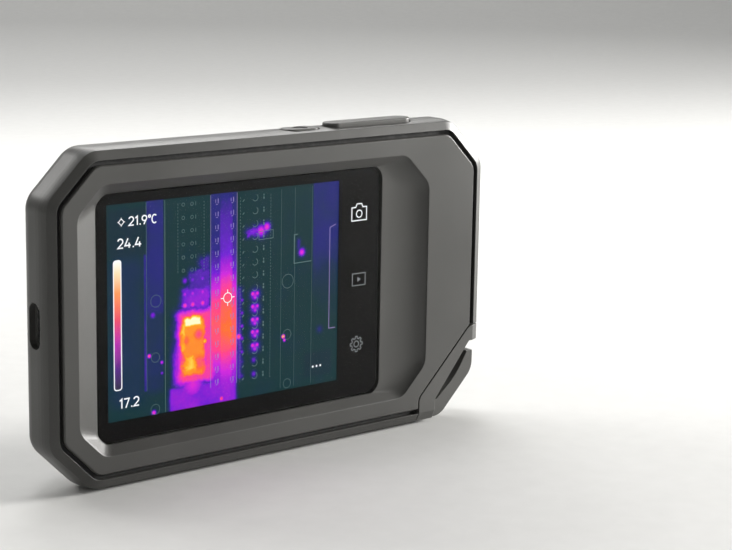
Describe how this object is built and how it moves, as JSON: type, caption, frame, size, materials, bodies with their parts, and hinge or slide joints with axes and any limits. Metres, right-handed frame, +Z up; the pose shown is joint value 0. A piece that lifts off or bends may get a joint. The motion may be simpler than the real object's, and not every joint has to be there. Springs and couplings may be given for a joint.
{
  "type": "thermal imaging camera",
  "caption": "Pocket thermal camera: eight-sided case with a touch display in front and a round lens turret behind, top buttons, a lanyard corner and a side charging socket.",
  "frame": {"origin": "middle of the footprint, on the plane of the lower edge", "axes": "+X to the user's right, display faces -Y, lens turret faces +Y, +Z up towards the buttons"},
  "size_m": [0.138, 0.024, 0.084],
  "materials": {
    "housing": "fine moulded texture with a soft-touch skin",
    "bezel": "fine moulded texture",
    "bracket": "smooth satin",
    "buttons": "satin",
    "lens_insert": "fine matte",
    "seal": "matt black",
    "cover_glass": "polished, black printed border",
    "display": "lit panel",
    "infrared_glass": "green coated, polished",
    "camera_trim": "gloss black",
    "clear_glass": "polished",
    "lamp_insert": "smoky translucent",
    "lamp_lens": "clear dome",
    "lamp_die": "phosphor",
    "steel": "bright",
    "tinned_can": "satin",
    "circuit_board": "solder mask",
    "chip": "moulded epoxy",
    "connector": "natural nylon",
    "cell": "pouch foil",
    "foam": "closed-cell foam",
    "flex": "polyimide",
    "lead": "sleeve",
    "screw": "zinc"
  },
  "bodies": {
    "case": {"rear_housing": "housing", "front_bezel": "bezel", "lanyard_bracket": "bracket", "case_gasket": "seal", "display_glass": "cover_glass", "display_tape": "foam", "lcd_module": "display", "display_frame": "steel", "save_switch": "chip", "power_switch": "chip", "button_board": "circuit_board", "lens_surround": "lens_insert", "lens_panel": "lens_insert", "window_gasket": "seal", "thermal_window": "infrared_glass", "camera_ring": "camera_trim", "camera_window": "clear_glass", "led_window": "lamp_insert", "led_lens": "lamp_lens", "led_board": "circuit_board", "led_emitter": "lamp_die", "usb_c_shell": "steel", "usb_c_tongue": "chip", "main_pcb": "circuit_board", "processor": "chip", "memory_chip": "chip", "wifi_module": "tinned_can", "battery_header": "connector", "core_socket": "chip", "shield_can": "tinned_can", "thermal_core": "tinned_can", "thermal_lens": "camera_trim", "shutter_frame": "chip", "shutter_motor": "tinned_can", "camera_module": "chip", "battery_cell": "cell", "battery_pad": "foam", "battery_plug": "connector", "wifi_antenna": "flex", "pcb_screws": "screw", "frame_screws": "screw", "lanyard_screws": "screw", "battery_lead": "lead", "antenna_cable": "lead", "display_flex": "flex"},
    "save_button": {"save_button": "buttons", "save_plunger": "connector"},
    "power_button": {"power_button": "buttons", "power_plunger": "connector"},
    "shutter": {"shutter_blade": "steel"}
  },
  "joints": [
    {"name": "save_button_press", "type": "slide", "parent": "case", "child": "save_button", "axis": [0, 0, -1], "range_m": [0, 0.0006], "stiffness_N_per_m": 2500, "springref_m": -0.0004},
    {"name": "power_button_press", "type": "slide", "parent": "case", "child": "power_button", "axis": [0, 0, -1], "range_m": [0, 0.0005], "stiffness_N_per_m": 2500, "springref_m": -0.0004},
    {"name": "shutter_swing", "type": "hinge", "parent": "case", "child": "shutter", "pos_m": [-0.0074, 0.004, 0.052], "axis": [0, -1, 0], "range_deg": [0, 45]}
  ]
}
